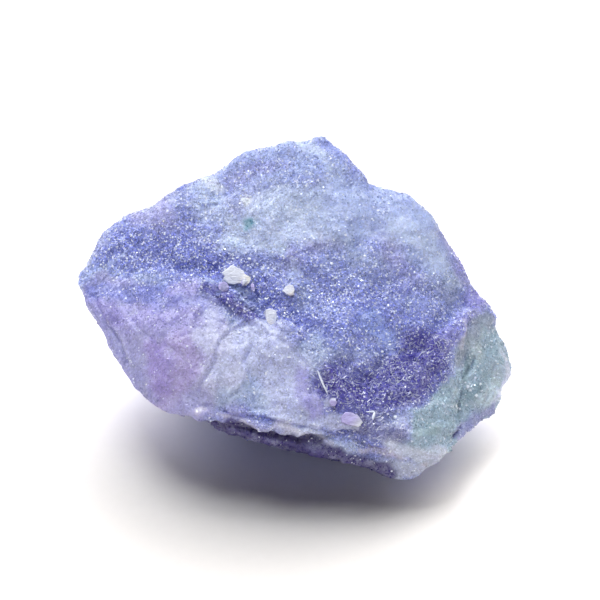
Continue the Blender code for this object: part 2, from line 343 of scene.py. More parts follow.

# Bands and patches as they lie on the lump, painted in this order. Each has its
# mineral, how much it covers, how sugary it is, its reach and softness, and the
# line that it follows: as picture points, or as places in millimetres. A few of
# them stand for light and shade rather than mineral, as marked.
PATCHES = {
    "left band": ("deep", 0.95, 1.0, 3.0, 1.0, halves((112, 245), (150, 250), (195, 258))),
    "top block": ("periwinkle", 0.8, 0.6, 2.8, 1.0, halves((235, 168), (280, 160), (325, 158))),
    "top streak": ("violet", 0.35, 0.9, 1.0, 1.2, halves((232, 182), (258, 172), (278, 166))),
    "middle": ("deep", 0.7, 1.0, 3.5, 1.2, halves((330, 290), (380, 290), (430, 310))),
    "middle front": ("deep", 0.8, 0.9, 3.0, 1.0, halves((350, 330), (400, 335), (440, 335))),
    "blue window": ("blue", 0.6, 0.4, 1.5, 1.0, halves((370, 320), (395, 345), (405, 350))),
    "under cloud": ("deep", 0.7, 1.0, 1.3, 1.0, halves((215, 254), (245, 256), (272, 258))),
    "plate shade": ("deep blue", 0.7, 0.95, 1.6, 1.2, [(-9, 2, 17), (-5.5, 2, 16.8), (-3.5, -1, 15.3),
        (-2, -3, 14.5), (1, -4.5, 13.8)]),
    "peak edge": ("violet blue", 0.6, 0.5, 0.9, 1.0, halves((328, 146), (345, 160), (362, 178))),
    "peak vein": ("cloud", 0.8, 0.3, 0.6, 1.0, halves((302, 144), (320, 152), (328, 166))),
    "left cloud": ("cloud", 0.6, 0.6, 1.4, 1.2, halves((198, 194), (214, 206), (226, 222))),
    "left white": ("white", 0.6, 0.5, 0.7, 1.0, halves((207, 182), (218, 186))),
    "upper cloud": ("cloud", 0.6, 0.5, 1.7, 1.2, halves((262, 205), (290, 205), (320, 200), (340, 185))),
    "cloud": ("cloud", 0.75, 0.45, 2.3, 0.9, halves((238, 238), (262, 228), (298, 226), (330, 216),
        (350, 204))),
    "cloud end": ("cloud", 0.7, 0.5, 0.9, 0.8, halves((262, 245), (280, 250))),
    "white blob": ("white", 0.9, 0.5, 0.7, 0.8, halves((250, 200))),
    "teal spot": ("teal spot", 1.0, 0.2, 0.7, 1.2, halves((246, 228), (251, 222))),
    "ice": ("ice", 0.85, 0.3, 4.0, 0.8, halves((352, 206), (385, 205), (412, 212), (432, 236))),
    "ice tongue": ("cloud", 0.6, 0.3, 1.6, 1.0, halves((395, 228), (425, 240), (436, 262))),
    "right edge": ("violet", 0.45, 0.35, 1.4, 1.0, halves((444, 238), (462, 268), (480, 300))),
    "right foot": ("violet", 0.45, 0.6, 1.4, 1.0, halves((480, 300), (462, 325), (440, 350))),
    "hollow": ("dark", 0.93, 0.9, 3.4, 0.8, [(5, -12, 11), (7, -12, 9.5), (11, -11, 10),
        (14.5, -7.5, 11.5)]),
    "hollow left": ("darkest", 0.7, 0.9, 1.4, 1.0, [(4.5, -12, 12), (6.5, -11.5, 9.5)]),
    "hollow right": ("darkest", 0.15, 0.9, 1.5, 1.0, halves((392, 365), (418, 352))),
    "hollow foot": ("foot", 0.8, 0.6, 1.6, 1.0, halves((365, 425), (390, 435))),
    "crack side": ("dark", 0.85, 0.8, 1.0, 1.0, halves((212, 290), (236, 303), (262, 322))),
    # Painted shade: a thin dark line where the lobe's lip shades the crack, whose groove the relief closes.
    "crack": ("crack", 0.9, 0.3, 0.16, 1.6, [(-10.3, -1.2, 16.7), (-9.5, -2, 16.3), (-7.7, -3.3, 16.2),
        (-6.3, -4.2, 15.8), (-4.9, -5.4, 15.2), *tenths((267, 329))]),
    "speck": ("speck", 1.0, 0.1, 0.2, 1.2, [(-3.9, -6.1, 15.2), (-3.4, -6.5, 15.1)]),
    "lobe": ("lavender", 1.0, 0.36, 5.0, 0.25, [(-21.5, -1.5, 13), (-15.5, -6, 14), (-12, -6.5, 14)]),
    "lobe foot": ("lavender", 1.0, 0.2, 3.5, 0.4, halves((130, 345), (160, 380), (190, 395))),
    # Painted shade: the lobe's top and brow are painted darker where the light from above falls on them.
    "lobe top, painted shade": ("deep lavender", 0.85, 0.36, 2.2, 1.0, [(-20.5, -2, 14), (-16, -4, 15),
        (-12.5, -4.5, 15)]),
    "lobe brow, painted shade": ("deep", 0.8, 0.5, 1.4, 1.2, [(-23, 1.5, 13.5), (-18, 0, 15), (-13, -1, 16.5)]),
    "lobe shoulder": ("deep", 0.5, 0.3, 1.2, 1.2, [(-15, -2.5, 15.5), (-11, -3, 16), (-9, -4.5, 15)]),
    "pink brow": ("pink", 0.4, 0.3, 1.0, 1.0, halves((175, 290), (195, 290))),
    "pink front": ("pink", 0.7, 0.25, 2.0, 1.0, halves((180, 345), (190, 365), (160, 398))),
    "pale lip": ("pale", 0.6, 0.1, 0.8, 1.0, [(-9, -4.5, 15), (-9.5, -6.5, 14.5), (-11, -7, 14.5)]),
    "lobe edge": ("grey violet", 0.8, 0.3, 1.0, 1.2, halves((98, 318), (112, 345), (128, 372), (148, 398))),
    "lobe corner": ("violet", 0.6, 0.3, 0.9, 1.0, halves((100, 310), (115, 318))),
    "purple patch": ("purple", 0.85, 0.32, 1.5, 1.0, halves((155, 350), (160, 368), (163, 385))),
    "pale patch": ("pale", 0.8, 0.28, 1.8, 0.9, halves((216, 345), (236, 340), (228, 370), (210, 385))),
    "pale patch end": ("pale", 0.7, 0.2, 1.6, 1.0, halves((235, 380), (250, 360))),
    "second lobe": ("pale lobe", 0.95, 0.38, 2.9, 0.5, halves((262, 340), (280, 370), (290, 400),
        (300, 425))),
    "lobe flank": ("violet", 0.7, 0.2, 0.9, 1.0, halves((302, 372), (310, 392), (315, 410))),
    "grey foot": ("teal grey", 0.6, 0.2, 1.1, 1.0, halves((225, 398), (245, 394), (262, 404))),
    "lump": ("pale lobe", 0.9, 0.2, 1.0, 0.6, [(4, -15.5, 9), (5, -16, 8.5), (6.5, -16, 9)]),
    "small lump": ("pale lobe", 0.9, 0.1, 0.5, 0.6, halves((325, 401))),
    "teal block": ("teal", 1.0, 0.5, 3.4, 0.3, [(23.5, -2, 7.5), (21.5, -7, 7), (18, -12, 6.5),
        (15.5, -15.5, 6.5)]),
    "teal right": ("teal", 1.0, 0.5, 2.5, 0.5, halves((500, 350), (495, 390), (470, 410))),
    "teal green": ("teal green", 0.7, 0.2, 0.9, 1.0, halves((418, 432), (432, 428))),
    "teal milk": ("teal milk", 0.6, 0.35, 0.8, 1.4, tenths((479, 352), (473, 346))),
    "teal milk, left": ("teal milk", 0.6, 0.35, 0.6, 1.4, [(17.8, -7.8, 7.8), (18.1, -9.3, 7.2)]),
    "teal milk, right": ("teal milk", 0.7, 0.3, 0.8, 1.4, [*tenths((497.5, 373)), (22, -6, 5.6),
        (21, -8.5, 5)]),
    "teal clear": ("teal clear", 0.7, 0.3, 0.5, 1.4, [(19.9, -4.5, 8.6), (19.5, -6.5, 7.6),
        (19.1, -7.5, 7.2), (18.8, -9.2, 6.6), (18.7, -11.7, 4.9)]),
    "teal clear, right": ("teal clear", 0.6, 0.3, 0.5, 1.4, [(20.3, -8.6, 5.8), (21.3, -5.6, 6.8)]),
    "olive": ("olive", 0.7, 0.3, 0.9, 1.0, halves((488, 318), (470, 340), (458, 360))),
    "arris": ("cream", 0.4, 0.2, 0.28, 1.4, [(20, 0, 12), (19, -4, 10), (16.5, -7, 10)]),
    "arris foot": ("cream", 0.1, 0.2, 0.5, 1.6, [(15, -9, 10), (13.5, -12.5, 9.5), (12, -15, 8),
        (10, -16.5, 7)]),
    # Painted glow: the pale right rim stands for light shining through the thin edge.
    "right rim glow": ("rim", 0.8, 0.1, 0.7, 1.0, halves((508, 362), (506, 380), (494, 402))),
    "teal under": ("grey violet", 0.8, 0.3, 0.9, 1.0, halves((490, 410), (472, 425), (458, 438))),
    "front band": ("rim", 0.9, 0.3, 0.8, 1.0, halves((392, 445), (420, 452), (445, 455))),
    "tip": ("tip", 0.9, 0.3, 1.2, 0.8, halves((385, 470), (410, 470), (435, 463))),
    "overhang": ("cream", 0.5, 0.2, 0.35, 1.2, [(-11.5, -13.5, 8.5), (-8, -14, 8.5), (-4, -15.5, 8),
        (0.5, -16, 7.5), (4, -16, 6), (7, -16.5, 5.5), (11.5, -17.5, 5.5), (14.5, -17, 4.5)]),
    # Painted shade: the band under the overhang is painted dark in place of its shadow.
    "shade under the overhang": ("under", 1.0, 0.3, 1.5, 0.7, [(-9, -13.5, 6.5), (-5, -15, 6.5), (0.5, -16, 5.5),
        (6, -17.5, 4), (10, -18.5, 3.5)]),
    # Painted glow: the pale left rim stands for light shining through the thin edge.
    "left rim": ("rim", 0.3, 0.1, 0.7, 1.0, halves((80, 292), (82, 275), (94, 252), (103, 238))),
    "left streak": ("cloud", 0.5, 0.4, 0.3, 1.0, halves((110, 268), (122, 256))),
}


def light_of(colour):
    """Red, green and blue out of 255 as the light that each stands for: the screen
    curve undone, a power of 2.4 over a short straight foot."""
    share = np.array(colour, float) / 255
    return np.where(share > 0.04045, ((share + 0.055) / 1.055) ** 2.4, share / 12.92)


# How far the edges of bands and patches are pulled about: size, reach and seed.
PULLS = ((3.0, 0.9, 11), (1.1, 0.35, 31), (0.5, 0.15, 51))

# The body's own sugar, and its bands, thinner upwards than along: the mineral, how
# much it covers, how sugary it is, its size and its seed.
BODY_SUGAR = 0.9
BANDS_THINNER = (1, 1, 1.6)
BANDS = (
    ("periwinkle", 0.8, 0.7, 7.0, 71),
    ("lavender", 0.7, 0.35, 9.0, 81),
    ("cloud", 0.7, 0.5, 6.0, 91),
    ("deep", 0.8, 0.9, 5.0, 101),
    ("teal grey", 0.6, 0.4, 8.0, 111),
)


def painted(places):
    """(tint, sugar) at each place: the body's own bands, then every patch laid over
    them, with the edges of both pulled about by the swell."""
    warped = places.copy()
    for size, reach, seed in PULLS:
        for axis in range(3):
            warped[:, axis] += reach * swell(places, size, seed + axis * 5)
    tint = np.tile(light_of(MINERAL["violet blue"]), (len(places), 1))
    sugar = np.full(len(places), BODY_SUGAR)
    bands = places * BANDS_THINNER
    for mineral, cover, sugary, size, seed in BANDS:
        height = swell(bands, size, seed) + 0.35 * swell(warped, size / 3, seed + 3)
        share = (cover * np.clip((height - 0.05) / 0.4, 0, 1))[:, None]
        tint += share * (light_of(MINERAL[mineral]) - tint)
        sugar += share[:, 0] * (sugary - sugar)
    for mineral, cover, sugary, reach, softness, line in PATCHES.values():
        share = (cover * fade(line_distance(warped, line), reach, softness))[:, None]
        tint += share * (light_of(MINERAL[mineral]) - tint)
        sugar += share[:, 0] * (sugary - sugar)
    return tint, sugar


skin_tint, skin_sugar = painted(skin_points)


# Contours of the smooth lobes and of the banding: how deep each crease is, how wide,
# how far from it and to which side its lip stands, and its line of picture points.
CREASES = {
    "lobe's right lip": (0.3, 0.22, (-0.4, -0.3, 0.1), tenths((205, 285), (217, 297), (228, 307),
        (233, 318), (230, 330))),
    "pale patch, left": (0.28, 0.25, (-0.4, 0.2, 0), tenths((230, 332), (222, 338), (216, 350), (214, 362),
        (206, 376), (198, 390))),
    "pale patch, top": (0.22, 0.22, (0, 0.35, 0.2), tenths((233, 330), (247, 322), (262, 328), (280, 340),
        (296, 352), (309, 368))),
    "pale patch, right": (0.25, 0.25, (-0.4, 0, 0), tenths((250, 345), (246, 360), (250, 372), (243, 385),
        (232, 395))),
    "lobe, left fold": (0.22, 0.25, (-0.4, 0, 0), tenths((120, 300), (135, 325), (150, 340))),
    "lobe, front fold": (0.22, 0.25, (0.4, 0, 0), tenths((165, 345), (180, 350), (186, 365))),
    "left edge": (0.25, 0.2, (0.3, 0, 0.3), tenths((96, 300), (105, 320), (118, 340), (128, 362))),
    "banding": (0.35, 0.18, (0, 0.2, 0.4), tenths((205, 405), (235, 415), (262, 418), (290, 424),
        (320, 430), (350, 440), (380, 450))),
    "lower banding": (0.3, 0.18, (0, 0, 0.4), tenths((225, 425), (250, 428), (275, 432), (300, 440))),
    "teal groove": (0.5, 0.24, (-0.4, 0, 0.1), tenths((462, 372), (464, 385), (461, 398), (459, 410),
        (461, 425), (452, 437))),
    "teal fold": (0.4, 0.24, (0.4, 0, 0), tenths((470, 342), (476, 356), (472, 368), (466, 375))),
    "teal rim": (0.25, 0.25, (0.4, 0, 0), tenths((497, 365), (488, 380), (490, 395), (482, 408))),
}


def waxed(places, faces, share, rounds):
    """The places after they have moved that many times, by their share, half way to
    the middle of their neighbours along the edges."""
    ends = np.stack([faces, np.roll(faces, -1, axis=1)], -1).reshape(-1, 2)
    met = np.bincount(ends[:, 0], minlength=len(places))[:, None]
    for turn in range(rounds):
        near = [np.bincount(ends[:, 0], places[ends[:, 1], axis], len(places)) for axis in range(3)]
        places = places + share[:, None] * 0.5 * (np.array(near).T / met - places)
    return places


# The broken faces of the skin: size, depth and seed.
BREAKS = ((2.2, 0.09, 231), (1.1, 0.08, 241), (0.6, 0.09, 251))

# What stands out along a patch's line, by its name: how high, and how far from it.
RAISED_LINES = {"crack": (0.3, 0.5), "arris": (0.15, 0.3), "overhang": (0.2, 0.4)}

# The straight brow right of the peak and the notch left of it, in millimetres.
BROW = [(6, 13, 24.5), (7.5, 12.5, 23)]
NOTCH = [(3.8, 13.9, 26)]
LINE_SOFT = 1.6


def line_of(patch):
    """The line that a patch follows, the last of its values."""
    return PATCHES[patch][-1]


def relief(places, sugar):
    """How far the broken skin stands out, in millimetres: low lumps, highest where
    it is waxy, broken faces of three sizes, the creases with their lips, a rough
    nap on the sugary parts, a swell that closes the crack, the arris and the
    overhang's lip along their lines, and the brow, less the notch."""
    waxy = 1 - sugar
    height = 0.12 * swell(places, 3.4, 201) + (0.06 + 0.06 * waxy) * swell(places, 1.8, 211)
    height += waxy * 0.07 * swell(places, 0.8, 221)
    for size, deep, seed in BREAKS:
        height += deep * (1 - 0.3 * waxy) * broken_faces(places, size, seed)
    pulled = places + 0.22 * np.stack([swell(places, 1.2, seed) for seed in (271, 272, 273)], -1)
    for deep, reach, lip, line in CREASES.values():
        height -= deep * fade(line_distance(pulled, line), reach, 1.8)
        height += 0.6 * deep * fade(line_distance(pulled - lip, line), reach * 1.3, 1.8)
    height += sugar * 0.03 * swell(places, 0.42, 261)
    for patch, (high, reach) in RAISED_LINES.items():
        height += high * fade(line_distance(places, line_of(patch)), reach, LINE_SOFT)
    height += 0.5 * fade(line_distance(places, BROW), 1.5, LINE_SOFT)
    height -= 0.4 * fade(line_distance(places, NOTCH), 0.9, LINE_SOFT)
    return height


WAX_ROUNDS = 12
SMOOTH_UNDER = 0.45

near_ledge = fade(line_distance(skin_points, line_of("overhang")), 1.5, 1.0)
wax_share = np.clip(1.2 - 1.6 * skin_sugar, 0, 1) * (1 - near_ledge)
skin_soft = waxed(skin_points, skin_faces, wax_share, WAX_ROUNDS)
skin_points = skin_soft + skin_out * relief(skin_points, skin_sugar)[:, None]
skin_points[:, 2] = np.maximum(skin_points[:, 2], 0)
skin.data.vertices.foreach_set("co", (skin_points * MM).ravel())
skin.data.update()


def give_tint(piece, tint):
    """Keeps each point's red, green and blue light on the piece, fully opaque."""
    layer = piece.data.attributes.new("tint", "FLOAT_COLOR", "POINT")
    layer.data.foreach_set("color", np.c_[tint, np.ones(len(tint))].ravel())


give_tint(skin, skin_tint)
sugar_layer = skin.data.attributes.new("sugar", "FLOAT", "POINT")
sugar_layer.data.foreach_set("value", skin_sugar)
skin.data.polygons.foreach_set("use_smooth", skin_sugar[skin_faces].mean(axis=1) < SMOOTH_UNDER)


def wired(material):
    """A function that adds a node to the material's, emptied first, with its values
    set and its inputs linked. An input given as a node takes its first output, and
    one given as (node, name) takes that output."""
    material.use_nodes = True
    tree = material.node_tree
    tree.nodes.clear()

    def add(kind, inputs=(), **settings):
        node = tree.nodes.new("ShaderNode" + kind)
        for name, value in settings.items():
            setattr(node, name, value)
        for name, value in dict(inputs).items():
            socket = node.inputs[name]
            if isinstance(value, bpy.types.Node):
                tree.links.new(value.outputs[0], socket)
            elif isinstance(value, tuple) and isinstance(value[0], bpy.types.Node):
                tree.links.new(value[0].outputs[value[1]], socket)
            else:
                socket.default_value = value
        return node

    return add


def millimetres(add, turned=(0, 0, 0)):
    """The piece's own places in millimetres, turned by those angles about its axes."""
    own = add("TexCoord")
    to_mm = {"Vector": (own, "Object"), "Scale": (1 / MM, 1 / MM, 1 / MM), "Rotation": turned}
    return add("Mapping", to_mm)


ANHYDRITE_IOR = 1.57
MILK = (0.68, 0.70, 0.86, 1)
# White of the flecks: partly the stone's own white specks, partly painted glints.
FLECK_AND_GLINT = (0.86, 0.87, 0.95, 1)

skin_finish = bpy.data.materials.new("sugary_anhydrite")
add = wired(skin_finish)
in_mm = millimetres(add)
tint = add("Attribute", attribute_name="tint")
sugar = add("Attribute", attribute_name="sugar")

# The milky depth of the mineral: pale clouds, then each grain a little lighter
# or darker than its neighbours, then a scatter of white flecks, partly the
# stone's own white specks and partly painted glints.
milk = add("TexNoise", {"Vector": in_mm, "Scale": 0.9, "Detail": 5, "Roughness": 0.65})
milk_share = add("MapRange", {"Value": milk, "From Min": 0.48, "From Max": 0.78, "To Max": 0.4})
milky = add("Mix", {"Factor": milk_share, 6: (tint, "Color"), 7: MILK}, data_type="RGBA")
grain = add("TexVoronoi", {"Vector": in_mm, "Scale": 4.6})
fine = add("TexVoronoi", {"Vector": in_mm, "Scale": 8.5})
grain_value = add("SeparateColor", {"Color": (grain, "Color")})
fine_value = add("SeparateColor", {"Color": (fine, "Color")})
lighter = add("MapRange", {"Value": (grain_value, "Red"), "To Min": 0.7, "To Max": 1.3})
lighter_fine = add("MapRange", {"Value": (fine_value, "Red"), "To Min": 0.74, "To Max": 1.26})
both = add("Math", {0: lighter, 1: lighter_fine}, operation="MULTIPLY")
held = add("MapRange", {"Value": (sugar, "Fac"), "To Min": 0.25, "To Max": 1.0})
even = add("Mix", {"Factor": held, 2: 1.0, 3: both})
grained = add("HueSaturation", {"Value": even, "Color": (milky, "Result")})
fleck_and_glint_line = add(
    "MapRange", {"Value": (sugar, "Fac"), "From Min": 0.3, "To Min": 1.0, "To Max": 0.935}
)
is_fleck_or_glint = add("Math", {0: (grain_value, "Green"), 1: fleck_and_glint_line}, operation="GREATER_THAN")
fleck_and_glint_share = add("Math", {0: is_fleck_or_glint, 1: 0.7}, operation="MULTIPLY")
flecked_and_glinting = add("Mix", {"Factor": fleck_and_glint_share, 6: grained, 7: FLECK_AND_GLINT}, data_type="RGBA")

# The nap of the break: each grain's face leans its own way, and both grains and
# waxy bands carry a fine roughness.
facing = add("NewGeometry")
lean = add("VectorMath", {0: (grain, "Color"), 1: (0.5, 0.5, 0.5)}, operation="SUBTRACT")
lean_share = add("Math", {0: (sugar, "Fac"), 1: 0.9}, operation="MULTIPLY")
leaning = add("VectorMath", {0: lean, "Scale": lean_share}, operation="SCALE")
tilted = add("VectorMath", {0: (facing, "Normal"), 1: leaning}, operation="ADD")
unit = add("VectorMath", {0: tilted}, operation="NORMALIZE")
nap = add("TexNoise", {"Vector": in_mm, "Scale": 2.6, "Detail": 6, "Roughness": 0.7})
bump = add("Bump", {"Height": nap, "Normal": unit, "Strength": 0.5, "Distance": 0.00025})
rough = add("MapRange", {"Value": (grain_value, "Blue"), "To Min": 0.22, "To Max": 0.5})
depth = add("MapRange", {"Value": (sugar, "Fac"), "To Min": 0.0022, "To Max": 0.001})
shader = add(
    "BsdfPrincipled",
    {
        "Base Color": (flecked_and_glinting, "Result"),
        "Roughness": rough,
        "Normal": bump,
        "IOR": ANHYDRITE_IOR,
        "Subsurface Weight": 0.6,
        "Subsurface Radius": (1.0, 0.9, 1.3),
        "Subsurface Scale": depth,
    },
)
add("OutputMaterial", {"Surface": shader})
skin.data.materials.append(skin_finish)

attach(skin, "root")
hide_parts("angelite")

# The sugar.
# Loose-looking cleavage grains of the same anhydrite, right-angled blocks a
# tenth to a quarter of a millimetre long, that stand half out of the broken skin.

GRAIN_SHARES = 4
GRAINS_IN_SHARE = 14000
GRAIN_LONG = (0.08, 0.24)
GRAIN_LEAN = 0.42
GRAIN_LEANS_ANYHOW = 3.0
# Whitened grains: partly the stone's own white flecks, partly painted glints.
WARM_SHARE = 0.02
WARM_FLECK_AND_GLINT = (0.93, 0.92, 0.87)
COOL_FLECK_AND_GLINT = (0.88, 0.92, 1.0)
CUBE_CORNERS = np.array([(x, y, z) for x in (-1, 1) for y in (-1, 1) for z in (-1, 1)]) / 2
CUBE_FACES = np.array(
    [(0, 1, 3, 2), (4, 6, 7, 5), (0, 4, 5, 1), (2, 3, 7, 6), (0, 2, 6, 4), (1, 5, 7, 3)]
)


def lying(outwards, draw):
    """Turning matrices of blocks that lie on the skin: the short side is the
    outward direction leant over by a normal random amount (one in five leans
    anyhow), and the long side is turned about it anyhow."""
    count = len(outwards)
    anyhow = draw.normal(size=(count, 3))
    lean = np.where(draw.random(count) < 0.2, GRAIN_LEANS_ANYHOW, GRAIN_LEAN)[:, None]
    short = outwards + lean * anyhow
    short /= np.linalg.norm(short, axis=1, keepdims=True)
    long = np.cross(short, draw.normal(size=(count, 3)))
    long /= np.linalg.norm(long, axis=1, keepdims=True)
    return np.stack([long, np.cross(short, long), short], -1)


def grain_finish():
    """Clear-faced grains: the grain's own tint, faint milk inside, sharp gloss."""
    material = bpy.data.materials.new("cleavage_grain")
    add = wired(material)
    tint = add("Attribute", attribute_name="tint")
    milk = add("TexNoise", {"Vector": millimetres(add), "Scale": 5.0, "Detail": 3})
    milk_value = add("MapRange", {"Value": milk, "To Min": 0.74, "To Max": 1.26})
    body = add("HueSaturation", {"Value": milk_value, "Color": (tint, "Color")})
    rough = add("MapRange", {"Value": milk, "To Min": 0.03, "To Max": 0.16})
    shader = add(
        "BsdfPrincipled", {"Base Color": body, "Roughness": rough, "IOR": ANHYDRITE_IOR}
    )
    add("OutputMaterial", {"Surface": shader})
    return material


def in_squares(count, corners):
    """Corner places on a sheet for that many things, each in a square of its own, in
    rows of the square root of their number; the corners are shares of a square."""
    across = math.ceil(math.sqrt(count))
    number = np.arange(count).reshape((-1,) + (1,) * (corners.ndim - 1))
    return (np.stack([number % across, number // across], -1) + corners) / across


cleavage_grain = grain_finish()
draw = np.random.default_rng(7)
corner_places = skin_points[skin_faces]
face_cross = np.cross(
    corner_places[:, 2] - corner_places[:, 0], corner_places[:, 3] - corner_places[:, 1]
)
face_area = np.linalg.norm(face_cross, axis=1) / 2
face_out = face_cross / np.maximum(2 * face_area, 1e-9)[:, None]
face_sugar = skin_sugar[skin_faces].mean(axis=1)
face_tint = skin_tint[skin_faces].mean(axis=1)
above_floor = corner_places[:, :, 2].min(axis=1) > 0.5
face_middle = corner_places.mean(axis=1)
hollow_patches = [PATCHES[name] for name in ("hollow", "hollow left", "hollow right", "hollow foot")]
in_hollow = np.max([
    fade(line_distance(face_middle, line), reach, 0.8) for *_, reach, _, line in hollow_patches], axis=0)
grain_chance = face_area * (0.05 + face_sugar**1.6) * (1 - 0.35 * in_hollow)
grain_chance *= above_floor * np.where(face_out[:, 2] < -0.2, 0.15, 1)
grain_chance /= grain_chance.sum()

for share in range(GRAIN_SHARES):
    count = GRAINS_IN_SHARE
    host = draw.choice(len(grain_chance), count, p=grain_chance)
    mix = draw.dirichlet(np.ones(4), count)
    middle = (corner_places[host] * mix[:, :, None]).sum(axis=1)
    long_side = GRAIN_LONG[0] + (GRAIN_LONG[1] - GRAIN_LONG[0]) * draw.random(count) ** 2
    shape = np.c_[np.ones(count), draw.uniform(0.6, 1, count), draw.uniform(0.5, 0.8, count)]
    sides = long_side[:, None] * shape
    corners = CUBE_CORNERS * sides[:, None, :]
    corners = np.einsum("nij,nkj->nki", lying(face_out[host], draw), corners)
    middle += face_out[host] * (sides[:, 2] * draw.uniform(-0.45, -0.05, count))[:, None]
    corners += middle[:, None, :]
    faces = CUBE_FACES[None] + (np.arange(count) * 8)[:, None, None]
    sixth = np.stack([np.arange(6) % 3 / 3, np.arange(6) // 3 / 2], -1)
    corner = np.array([(0.06, 0.08), (0.28, 0.08), (0.28, 0.42), (0.06, 0.42)])
    grain_sheet = in_squares(count, sixth[:, None] + corner)
    grains = mesh_piece(
        f"sugar_grains_{share + 1}", corners.reshape(-1, 3), faces.reshape(-1, 4), grain_sheet
    )
    sugary = face_sugar[host]
    lightness = 1 + (0.3 + 0.7 * sugary) * draw.uniform(-0.55, 0.65, count)
    grain_tint = face_tint[host] * lightness[:, None]
    # Painted glints: a share of the grains is whitened, partly as the stone's own white flecks and partly
    # as glints painted into their colour.
    is_fleck_or_glint_grain = draw.random(count) < 0.06 + 0.17 * sugary**2 * (1 - 0.9 * in_hollow[host])
    fleck_and_glint_whiteness = np.where(is_fleck_or_glint_grain, draw.uniform(0.6, 1, count), 0)[:, None]
    warm = draw.random(count)[:, None] < WARM_SHARE
    grain_tint += fleck_and_glint_whiteness * (np.where(warm, WARM_FLECK_AND_GLINT, COOL_FLECK_AND_GLINT) - grain_tint)
    give_tint(grains, np.repeat(np.clip(grain_tint, 0, 1), 8, axis=0))
    grains.data.polygons.foreach_set("use_smooth", np.zeros(count * 6, bool))
    grains.data.materials.append(cleavage_grain)
    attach(grains, "root")

# The large cleavage crystals.
# A flat plate, an eight-sided one, a splinter and some stumpy blocks of the same
# mineral, nearly white, left standing by their roots where the rest split off.

# Each crystal: the middle of its root on the skin, the way its top looks, its
# height, its colour, its second colour, the side to which that one gathers (or 0, 0
# for its heart), and its outline to the right and upwards of the middle. A root is
# where a picture point is seen on the stone, or a place in millimetres.
CRYSTALS = {
    "white plate": (tenths((237, 275.5))[0], (0.03, -0.66, 0.75), 0.5, "crystal", "crystal cream",
        (1, -0.7), [
        (-1.76, 0.3), (-0.57, 1.2), (-0.29, 1.05), (0.77, 0.5), (0.86, 0.17), (1.53, -0.23),
        (1.57, -0.55), (1.4, -0.88), (1.0, -1.19), (0.69, -1.1), (0.23, -0.9), (-0.41, -1.08),
        (-1.03, -0.95), (-1.6, -0.42), (-1.43, -0.13)]),
    "eight-sided plate": ((-8.2, -1.3, 16.5), (0.03, -0.55, 0.83), 0.6, "violet crystal",
        "crystal heart", (0, 0), [
        (-0.62, 0.1), (-0.42, 0.5), (0.05, 0.62), (0.42, 0.42), (0.62, -0.05), (0.4, -0.52),
        (-0.1, -0.6), (-0.5, -0.35)]),
    "splinter": ((-5.0, -0.2, 15.5), (0.12, -0.5, 0.86), 0.7, "violet crystal", "crystal", (0, -1), [
        (-0.25, 0.3), (-0.05, 0.55), (0.18, 0.42), (0.28, -0.25), (0.2, -0.55), (-0.08, -0.35)]),
    "splinter foot": ((-5.9, 0.1, 16.2), (0.0, -0.6, 0.8), 0.5, "crystal", "violet crystal", (-1, 0), [
        (-0.2, 0.35), (0.25, 0.45), (0.4, 0.1), (-0.15, -0.45), (-0.4, -0.1)]),
    "right block": ((-0.8, -1.0, 15.8), (0.0, -0.62, 0.79), 0.7, "crystal", "crystal cream", (0.6, -1), [
        (-0.72, -0.02), (-0.35, 0.5), (0.05, 0.66), (0.5, 0.62), (0.7, 0.1), (0.55, -0.5),
        (0.1, -0.62), (-0.35, -0.35)]),
    "crack block": ((-2.95, -4.2, 14.5), (0.2, -0.62, 0.76), 1.0, "crystal", "crystal cream",
        (-0.5, -1), [
        (-0.62, 0.75), (-0.1, 0.95), (0.55, 0.7), (0.66, 0.1), (0.56, -0.6), (0.1, -1.0),
        (-0.46, -0.75), (-0.66, -0.1)]),
    "round block": (tenths((333, 402))[0], (-0.1, -0.7, 0.7), 0.5, "violet crystal", "crystal", (0.3, 1), [
        (-0.42, 0.1), (-0.2, 0.42), (0.25, 0.4), (0.45, 0.0), (0.2, -0.42), (-0.25, -0.38)]),
    "small lump": ((6.3, -15.6, 9.2), (0.05, -0.7, 0.7), 0.5, "violet crystal", "crystal", (1, -0.6), [
        (-1.3, 0.2), (-0.8, 0.75), (-0.1, 0.7), (0.7, 0.3), (1.15, -0.4), (0.7, -0.9), (-0.4, -0.7),
        (-1.2, -0.4)]),
}
# Small crystals: how wide they are, and the middle of each root.
SMALL_CRYSTALS = {
    0.42: [
        *tenths((249, 260)),
        (-0.8, -9.9, 13.2),
        *tenths((479, 352), (469, 387), (474.5, 395.5), (395, 418)),
        (-5.6, 9, 21.5),
        (-10.2, 10.8, 21.8),
    ],
    0.32: [
        *tenths((232.5, 259), (237.5, 259), (257, 264), (267.5, 270), (266, 300), (204, 276),
            (283, 315), (497.5, 373), (480, 384), (481, 390), (460, 409), (490.5, 341)),
        (-5.2, 9.3, 21.8),
    ],
    0.24: [
        *tenths((263, 277), (258, 309), (197.5, 257.5), (275, 270.5), (265, 284), (473, 346)),
        (-5.9, 8.7, 21.3),
    ],
}
# Violet crystals crowded along the upper side of the crack.
CROWD = [
    (-8.6, -2.2, 16.5),
    *tenths((233, 292), (238, 300), (246, 304), (252, 308), (244, 296), (256, 313), (262, 316)),
]
CROWD_SIZE = 40
CROWD_SPREAD = (0.5, 0.5, 0.2)
CROWD_SHIFT = (0.2, 0.3, 0)

# From root to tip: the height as a share of the crystal's, and how far the
# outline is drawn in towards a point off its middle.
LEVELS = np.array([
    (-1.6, 0.85), (0, 1.0), (0.84, 1.0), (0.96, 0.94), (0.98, 0.6), (1.06, 0.56), (1.08, 0.2)
])


